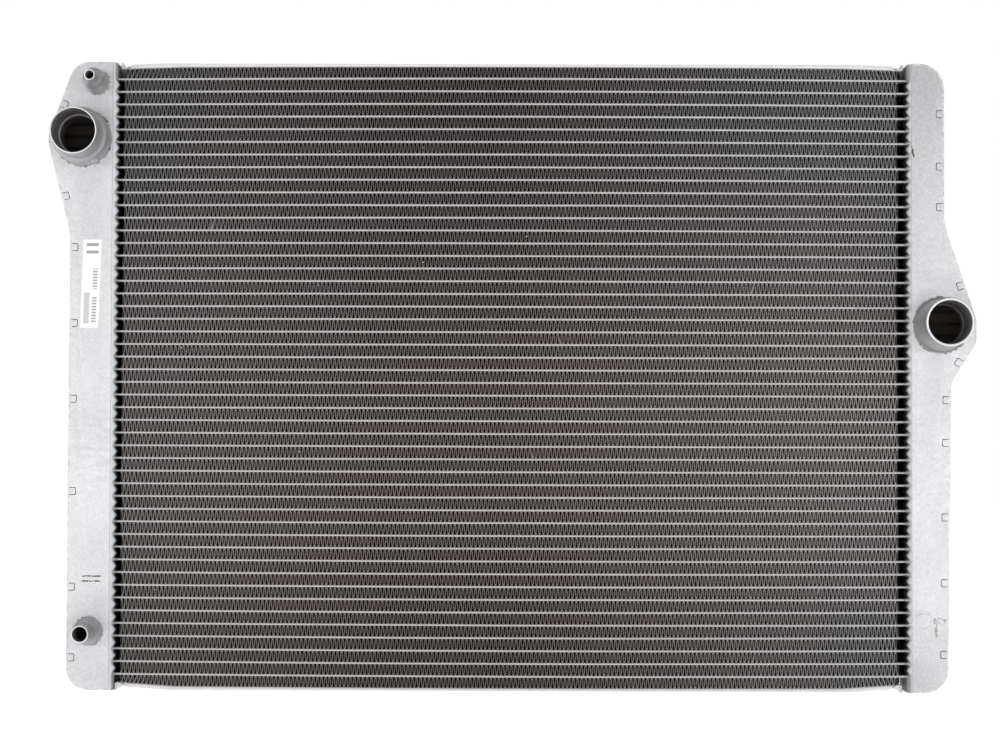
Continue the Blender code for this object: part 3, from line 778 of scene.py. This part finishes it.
plateShape = {"sheet": 1.2 * mm, "flange": 3.375 * mm, "cutStart": 290.0 * mm, "cutDepth": 0.86,
              "bendRadius": 1.6 * mm, "beadHalf": 4.0 * mm, "beadSlope": 3.0 * mm, "beadFull": 225.0 * mm,
              "beadEnd": 240.0 * mm, "corner": 1.5 * mm, "aside": {"top": 0.0, "bottom": -1.7 * mm}}


def plateSection(trim):
    # half the section and its mirror image; every point is (depth, share of the flange's height,
    # share of the bead's height, plain offset)
    radius = plateShape["corner"] - trim * 0.5
    side = coreHalf - trim
    top = plateShape["beadHalf"]
    foot = top + plateShape["beadSlope"]
    turns = np.linspace(0, math.pi / 2, 5)
    left = [(-side, 1.0, 0, 0), (-side, 0.5, 0, 0)]
    left += [(-side + radius * (1 - math.cos(t)), 0, 0, trim + radius * (1 - math.sin(t))) for t in turns]
    left += [(-foot - 1 * mm, 0, 0, trim), (-foot, 0, 0.06, trim), (-foot + 1.5 * mm, 0, 0.5, trim),
             (-top, 0, 0.94, trim), (-top + 1 * mm, 0, 1, trim), (0, 0, 1, trim)]
    return np.array(left + [(-y, flange, bead, offset) for y, flange, bead, offset in left[-2::-1]]).T


def makeSidePlate(node, word):
    # the section is carried along a path that rises to both ends and turns outwards there
    bend, full, end = plateShape["bendRadius"], plateShape["beadFull"], plateShape["beadEnd"]
    reach = plateEnd - bend
    along = np.concatenate([np.linspace(0, full, 24), np.linspace(full + 2 * mm, end, 6),
                            np.linspace(end + 3 * mm, reach, 18)])
    rise = plateFace(along, word)
    turn = np.linspace(0, math.pi / 2, 7)[1:]
    hookX = np.concatenate([along, reach + bend * np.sin(turn), np.full(3, plateEnd)])
    hookZ = np.concatenate([rise, rise[-1] - bend * (1 - np.cos(turn)),
                            (rise[-1] - bend) * np.array([0.66, 0.33, 0.0])])
    hookX = np.concatenate([-hookX[:0:-1], hookX])
    hookZ = np.concatenate([hookZ[:0:-1], hookZ])
    heading = np.stack([np.gradient(hookX), np.gradient(hookZ)], -1)
    heading /= np.linalg.norm(heading, axis=1, keepdims=True)
    cut = smoothStep((np.abs(hookX) - plateShape["cutStart"]) / (4 * mm))
    flange = (plateShape["flange"] * (1 - plateShape["cutDepth"] * cut))[:, None]
    bead = smoothStep((end - np.abs(hookX)) / (end - full))[:, None]
    bead = (plateShape["flange"] - plateShape["sheet"]) * bead
    skins = []
    for trim in (0.0, plateShape["sheet"]):
        depth, flangeShare, beadShare, offset = plateSection(trim)
        out = flange * flangeShare + bead * beadShare + offset  # away from the core
        x = hookX[:, None] + heading[:, 1:] * out + plateShape["aside"][word]
        z = np.maximum(hookZ[:, None] - heading[:, :1] * out, 0.02 * mm * (trim == 0.0))
        skins.append(pointGrid(x, depth, height - z if word == "top" else z))
    addPiece(f"{node}_rolled", sheetBody(*skins), platePaint, (node,), 35.0)


makeSidePlate("side_plate_bottom", "bottom")
makeSidePlate("side_plate_top", "top")
print("side plates made")


# profiles as (radius, height over the cover) in mm: up the outside, over the rim, down the bore
connectorShape = {
    "inlet_spigot": {"rise": 50.0, "ledge": 18.6, "steps": 112, "braze": 21.9, "neck": 17.3, "profile": [
        (17, -3.5), (17, 0.15), (21.6, 0.15), (21.8, 0.6), (21.7, 1.8), (21.5, 3.2), (21.4, 8), (21.3, 15),
        (21.2, 19.4), (21.05, 20.3), (20.6, 20.9), (19.6, 21.1), (18.7, 21.3), (18.2, 21.8), (17.9, 23.1),
        (17.75, 28), (17.65, 38), (17.6, 46), (17.6, 48.6), (17.55, 49.3), (17.35, 49.8), (17, 50),
        (16.65, 49.9), (16.45, 49.5), (16.4, 48.4), (16.3, 34), (16.2, 21), (16, 19.6), (15.5, 18.9),
        (15, 18.6), (14.7, 18.3), (14.6, 17.6), (14.6, 8), (14.6, -3.5)]},
    "outlet_spigot": {"rise": 46.0, "ledge": 8.0, "steps": 112, "braze": 21.5, "neck": 17.3, "profile": [
        (17, -3.5), (17, 0.15), (21.1, 0.15), (21.3, 0.4), (21.2, 0.9), (20.8, 1.2), (20.4, 0.7),
        (20.2, 0.8), (20.1, 1.5), (19.7, 4.5), (19.2, 8.5), (18.7, 13.5), (18.35, 19), (18.2, 26),
        (18.15, 36), (18.15, 44.2), (18.1, 45.2), (17.9, 45.7), (17.5, 46), (17, 46), (16.55, 45.8),
        (16.3, 45.3), (16.2, 44.2), (16.1, 26), (16.1, 9.6), (15.8, 8.6), (15.2, 8), (14.9, 7.2), (14.9, 2),
        (14.9, -3.5)]},
    "vent_nipple": {"rise": 45.0, "steps": 72, "braze": 9.1, "neck": 7.3, "profile": [
        (7, -3.5), (7, 0.15), (9.1, 0.15), (9.3, 0.4), (9.1, 0.9), (8.5, 1.3), (8.2, 2), (8.15, 10),
        (8.1, 20), (8, 25), (7.85, 26.6), (7.4, 28), (6.6, 29.4), (5.6, 30.8), (4.95, 32), (4.6, 33.4),
        (4.45, 36), (4.3, 41), (4.2, 43.8), (4.12, 44.6), (3.9, 44.95), (3.6, 45), (3.3, 44.85),
        (3.15, 44.4), (3.15, 20), (3.15, -3.5)]},
    "lower_nipple": {"rise": 45.0, "steps": 72, "braze": 10.7, "neck": 8.7, "profile": [
        (8.4, -3.5), (8.4, 0.15), (10.8, 0.15), (11, 0.5), (10.8, 1.2), (10.2, 1.8), (9.9, 2.8), (9.8, 6),
        (9.7, 11.6), (9.5, 12.5), (9, 13), (8.9, 14), (8.8, 20), (8.7, 27.4), (8.5, 28.8), (7.9, 30.3),
        (7.2, 31.6), (6.9, 33), (6.8, 38), (6.75, 43.4), (6.65, 44.4), (6.3, 44.95), (6, 45), (5.65, 44.85),
        (5.5, 44.3), (5.5, 22), (5.5, -3.5)]},
}
connectorPlace = {}
for name in connectorShape:
    low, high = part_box(name)
    # the base is round, so its centre is half way between the sides that the lug doesn't touch
    centre = low.x + (high.z - low.z) / 2 if name == "inlet_spigot" else (low.x + high.x) / 2
    connectorPlace[name] = (centre, (high.z + low.z) / 2)
lug = {"turn": 58.0, "middle": 21.9 * mm, "half": (2.5 * mm, 3.0 * mm, 3.2 * mm), "height": 16.6 * mm}


def turned(profile, centre, steps):
    # a profile carried round an axis that points to the front
    angle = circle(steps)[:, None]
    radius, rise = profile.T
    return pointGrid(centre[0] + radius * np.cos(angle), frontY - rise, centre[1] + radius * np.sin(angle))


def makeConnector(name, spec):
    # a turned profile, lighter at the rim and on the ledge in the bore; deeper in the bore, brown stain and
    # painted shade
    centre = connectorPlace[name]
    profile = np.array(spec["profile"]) * mm
    rise, top = profile[:, 1], spec["rise"] * mm
    place, crown = np.arange(len(profile)), int(np.argmax(rise))
    bright = smoothStep((rise - top + 0.7 * mm) / (0.5 * mm))
    if "ledge" in spec:
        bright[(place > crown) & (np.abs(rise - spec["ledge"] * mm) < 0.45 * mm)] = 0.7
    # painted shade with the stain: the bore's colour takes over the deeper it goes
    deep = (place > crown + 2) * smoothStep((top - rise) / (6 * mm) + 0.45)
    bodies = [ringBody(turned(profile, centre, spec["steps"]))]
    if name == "inlet_spigot":
        turn = -math.radians(lug["turn"])
        out, along = (math.cos(turn), 0, math.sin(turn)), (-math.sin(turn), 0, math.cos(turn))
        spot = (centre[0] + lug["middle"] * out[0], frontY - lug["height"],
                centre[1] + lug["middle"] * out[2])
        bodies.append(pillow(spot, (out, along, (0, 1, 0)), lug["half"], 0.25))
    verts, faces = joined(*bodies)
    fields = {"rim": np.zeros(len(verts)), "inside": np.zeros(len(verts))}
    for key, values in (("rim", bright), ("inside", deep)):
        fields[key][:len(profile) * spec["steps"]] = np.tile(values, spec["steps"])
    addPiece(name + "_turned", (verts, faces), connectorPaint, (name,), 30.0, fields)


def makeBrazeRing(name, spec):
    # a lumpy bead where the base meets the cover, thin in places
    steps, ring = 220, 10
    angle = circle(steps)[:, None]
    blend = np.minimum(np.arange(steps), np.arange(steps)[::-1]) / 8.0  # the lumps fade where the ring closes
    lumps = (np.clip(wander(steps, 78, 0.8), -1.2, 1.6) * np.clip(blend, 0, 1))[:, None]
    thick = (0.45 + 0.28 * lumps) * mm
    turn = circle(ring)
    radius = (spec["braze"] + 0.25 + 0.10 * lumps) * mm + thick * np.cos(turn)
    rise = np.maximum(thick * np.sin(turn) + 0.1 * mm, -0.1 * mm)
    grid = pointGrid(connectorPlace[name][0] + radius * np.cos(angle), frontY - rise,
                     connectorPlace[name][1] + radius * np.sin(angle))
    addPiece(name + "_braze", ringBody(grid), brazePaint, (), 60.0)


for word, sign in (("left", -1), ("right", 1)):
    makeCover(word, sign, [(connectorPlace[name], spec["neck"] * mm) for name, spec in connectorShape.items()
                           if connectorPlace[name][0] * sign > 0])
    makeSeamBraze(word, sign)
for name, spec in connectorShape.items():
    makeConnector(name, spec)
    makeBrazeRing(name, spec)
print("connectors made")


baffle = {"z": 84.6 * mm, "sheet": 1.3 * mm, "reach": (2.2 * mm, 33.2 * mm), "halfDepth": 25.4 * mm,
          "back": 0.4 * mm, "seams": (86.5 * mm, 82.7 * mm), "seamReach": (9.0 * mm, 24.0 * mm),
          "seamHalf": 0.65 * mm}
# the blank's profile is (radius, height over the cover) in mm
disc = {"distance": 11.2 * mm, "z": 55.0 * mm, "profile": [
    (0.02, -0.4), (7.0, -0.4), (7.05, 0.02), (6.7, 0.35), (6.3, 0.42), (6.0, 0.30), (5.75, -0.1), (5.5, -0.1),
    (5.35, 0.25), (5.0, 0.42), (2.5, 0.48), (0.02, 0.5)]}
# flat drops are (distance, height, half width, half height) in mm: run-out braze round the blank,
# and marks of flux at the top of the right tank
drops = {
    "runout": [(-8.4, -0.6, 0.5, 2.0), (-9.6, -3.0, 1.5, 0.5), (8.6, -0.4, 1.0, 2.4), (10.1, -2.0, 0.6, 2.9),
               (12.4, 1.4, 2.0, 0.5), (16.2, 0.2, 2.0, 0.6), (14.0, -3.4, 1.7, 0.5), (12.2, -1.6, 0.5, 1.7),
               (16.0, -2.0, 0.5, 1.6), (9.6, -7.0, 1.3, 2.6), (9.9, -11.5, 1.0, 1.8)],
    "flux": [(3.6, 411.0, 0.8, 2.4), (4.4, 408.0, 0.6, 1.6), (3.0, 414.4, 0.4, 0.9)]}
specks = {"count": 16, "middle": -0.12, "loose": 0.10, "ends": (-0.27, 0.27), "rows": (6, 42),
          "size": (0.25, 0.6)}
upright, facing = ((1, 0, 0), (0, 1, 0), (0, 0, 1)), ((1, 0, 0), (0, 0, 1), (0, 1, 0))
label = {"corners": [(24.5, 342.2), (10.3, 342.2), (12.6, 274.9), (26.6, 274.9)], "thick": 0.12 * mm,
         "paper": (0.93, 0.93, 0.93, 1.0), "ink": (0.16, 0.14, 0.14, 1.0),
         "metallic": 0.0, "roughness": 0.65}


def makeBaffle():
    # a plate across the tank
    start, end = baffle["reach"]
    plate = pillow((-headerX - (start + end) / 2, baffle["back"], baffle["z"]), upright,
                   ((end - start) / 2, baffle["halfDepth"], baffle["sheet"] / 2), 0.1)
    addPiece("tank_left_baffle", plate, darkPaint, (), 40.0)


def makeSeam(index, z):
    # an uneven ridge left where the baffle is staked into the cover
    count, ring = 60, 10
    along = np.linspace(*baffle["seamReach"], count)[:, None]
    ends = np.sqrt(np.clip(1 - (2 * (along - along.mean()) / (along[-1] - along[0])) ** 8, 0, 1))
    thick = baffle["seamHalf"] * (0.75 + wander(count, 16, 0.22)[:, None]) * ends + 0.02 * mm
    drift = wander(count, 14, 0.12 * mm)[:, None]
    turn = circle(ring)
    grid = pointGrid(-headerX - along, frontY - thick * 0.25 * np.sin(turn), z + drift + thick * np.cos(turn))
    addPiece(f"baffle_seam_{index}", beadBody(grid), darkPaint, (), 60.0)


def makeDisc():
    # a shallow pressed blank in a groove, with a brazed ring round it
    grid = turned(np.array(disc["profile"]) * mm, (headerX + disc["distance"], disc["z"]), 64)
    addPiece("tank_right_blank", ringBody(grid), tankPaint, (), 30.0)


def makeDrops(name, spots, thick, paint, x=0.0, z=0.0):
    # flat drops on the right tank, placed from a middle
    bodies = [pillow((headerX + x + dx * mm, frontY, z + dz * mm), facing,
                     (a * mm, b * mm, thick), 0.9, 9, 18) for dx, dz, a, b in spots]
    addPiece(name, joined(*bodies), paint, (), 60.0)


def makeLabelPaint():
    # plain white paper with neutral printed bars, placed by the sticker's own coordinates
    paint = Paint("labelPaper")
    place = paint.node("ShaderNodeUVMap", {"uv_map": "paper"})
    across, up = [paint.node("ShaderNodeSeparateXYZ", None, {0: place}, letter) for letter in "XY"]

    def within(value, low, high):
        return (paint.between(value, low - 0.004, low + 0.004)
                * paint.between(value, high - 0.004, high + 0.004, 1.0, 0.0))

    dashes, wide = paint.between((up * 190.0).sine(), -0.3, 0.1), paint.between((up * 75.0).sine(), 0.1, 0.5)
    bars = (within(across, 0.60, 0.84) * (within(up, 0.05, 0.36) + within(up, 0.44, 0.67)) * dashes
            + within(across, 0.16, 0.46) * within(up, 0.05, 0.40) * 0.55
            + within(across, 0.20, 0.84) * within(up, 0.80, 0.97) * wide)
    grain = paint.noise(500.0, 2.0)
    colour = paint.mix(bars.clamped() * 0.72, label["paper"], label["ink"])
    return paint.finish(label, paint.scaled(colour, 0.97 + grain * 0.06), grain, 0.05, 0.05 * mm)


def makeLabel():
    # thin paper stretched between four corners
    corners = np.array([(-headerX - away * mm, z * mm) for away, z in label["corners"]])
    u, v = np.meshgrid(np.linspace(0, 1, 12), np.linspace(0, 1, 40), indexing="ij")
    x, z = sum(share[..., None] * corner for share, corner in zip(
        ((1 - v) * (1 - u), (1 - v) * u, v * u, v * (1 - u)), corners)).transpose(2, 0, 1)
    skins = [pointGrid(x, frontY - rise - 0.02 * mm, z) for rise in (label["thick"], 0.0)]
    piece = addPiece("label_blank", sheetBody(*skins), makeLabelPaint(), (), 30.0)
    layer = piece.data.uv_layers.new(name="paper")
    loops = np.empty(len(piece.data.loops), np.int32)
    piece.data.loops.foreach_get("vertex_index", loops)
    single = np.stack([u, 1 - v], -1).reshape(-1, 2)
    layer.data.foreach_set("uv", np.concatenate([single, single])[loops].astype(np.float32).ravel())


def makeSpecks():
    # a few white crumbs of flux on the front edges of the fins, thickest left of the middle
    count = specks["count"]
    x = np.clip(rng.normal(specks["middle"], specks["loose"], count), *specks["ends"])
    z = tubeZ[rng.integers(*specks["rows"], count)] + tubePitch * rng.uniform(0.2, 0.8, count)
    size = rng.uniform(*specks["size"], count) * mm
    bodies = [pillow((a, -coreHalf + 0.1 * mm, b), ((0.8, 0, 0.6), (-0.6, 0, 0.8), (0, 1, 0)),
                     (c, c * 0.7, c * 0.6), 0.8, 7, 10) for a, b, c in zip(x, z, size)]
    crumbs = makeBrazePaint("fluxCrumbs", brazeFinish["crumbs"], 0.8)
    addPiece("flux_specks", joined(*bodies), crumbs, (), 60.0)


makeBaffle()
for index, z in enumerate(baffle["seams"]):
    makeSeam(index + 1, z)
makeDisc()
runoutPaint = makeBrazePaint("runoutMetal", brazeFinish["runout"], 0.5)
makeDrops("braze_blobs", drops["runout"], 0.22 * mm, runoutPaint, disc["distance"], disc["z"])
makeDrops("flux_marks", drops["flux"], 0.12 * mm, darkPaint)
makeLabel()
makeSpecks()
print("small pieces made")


stageShape = {"half": 12.0, "colour": (0.86, 0.86, 0.86, 1.0), "metallic": 0.0, "roughness": 0.9,
              "glow": 0.72, "worldLight": 0.50}
# every lamp is (place, size, power)
lampShape = [((-1.7, -2.6, -0.05), 1.6, 27.0), ((1.9, -2.4, 0.0), 1.6, 27.0), ((0.0, -1.6, 2.6), 1.6, 4.0)]
cameraShape = {"place": (0.00475, -2.1803, 0.1677), "lens": 102.09, "sensor": 36.0, "clipEnd": 60.0,
               "pitch": 1.9226, "yaw": 0.3488, "roll": 0.1861}  # angles in degrees


def makeStage():
    # a pale glowing floor without a visible edge
    paint = Paint("floorPaper")
    cloud = paint.noise(2.0, 2.0)
    colour = paint.scaled(stageShape["colour"], 0.99 + cloud * 0.02)
    paint.finish(stageShape, colour)
    half = stageShape["half"]
    mesh = bpy.data.meshes.new("floor")
    corners = [(-half, -half, 0), (half, -half, 0), (half, half, 0), (-half, half, 0)]
    mesh.from_pydata(corners, [], [(0, 1, 2, 3)])
    mesh.materials.append(paint.material)
    linked("floor", mesh)


def makeLight():
    # the camera sees a white room, while a weaker one lights the part together with three soft boxes
    world = bpy.data.worlds.new("studio")
    world.use_nodes = True
    bpy.context.scene.world = world
    tree = world.node_tree
    tree.nodes.clear()
    kinds = ("Background", "Background", "LightPath", "MixShader", "OutputWorld")
    seen, cast, rays, blend, out = [tree.nodes.new("ShaderNode" + kind) for kind in kinds]
    seen.inputs[0].default_value = (1, 1, 1, 1)
    cast.inputs[0].default_value = (0.98, 0.99, 1.0, 1)
    cast.inputs[1].default_value = stageShape["worldLight"]
    sources = (rays.outputs["Is Camera Ray"], cast.outputs[0], seen.outputs[0])
    for source, socket in zip(sources, blend.inputs):
        tree.links.new(source, socket)
    tree.links.new(blend.outputs[0], out.inputs["Surface"])
    target = Vector((0.0, 0.0, height / 2))
    for index, (place, size, power) in enumerate(lampShape):
        lamp = bpy.data.lights.new(f"softbox_{index}", "AREA")
        lamp.size = size
        lamp.energy = power
        item = linked(lamp.name, lamp)
        item.location = place
        item.rotation_euler = (target - Vector(place)).to_track_quat("-Z", "Y").to_euler()
    bpy.context.scene.view_settings.view_transform = "Standard"


def makeCamera():
    # straight from the front, a little below the middle
    data = bpy.data.cameras.new("camera")
    data.lens = cameraShape["lens"]
    data.sensor_width = cameraShape["sensor"]
    data.clip_end = cameraShape["clipEnd"]
    camera = linked("camera", data)
    camera.location = cameraShape["place"]
    yaw, pitch, roll = [math.radians(cameraShape[key]) for key in ("yaw", "pitch", "roll")]
    turn = (Matrix.Rotation(yaw, 3, "Z") @ Matrix.Rotation(math.pi / 2 + pitch, 3, "X")
            @ Matrix.Rotation(roll, 3, "Z"))
    camera.rotation_euler = turn.to_euler("XYZ")
    bpy.context.scene.camera = camera


makeStage()
makeLight()
makeCamera()
print("stage made")
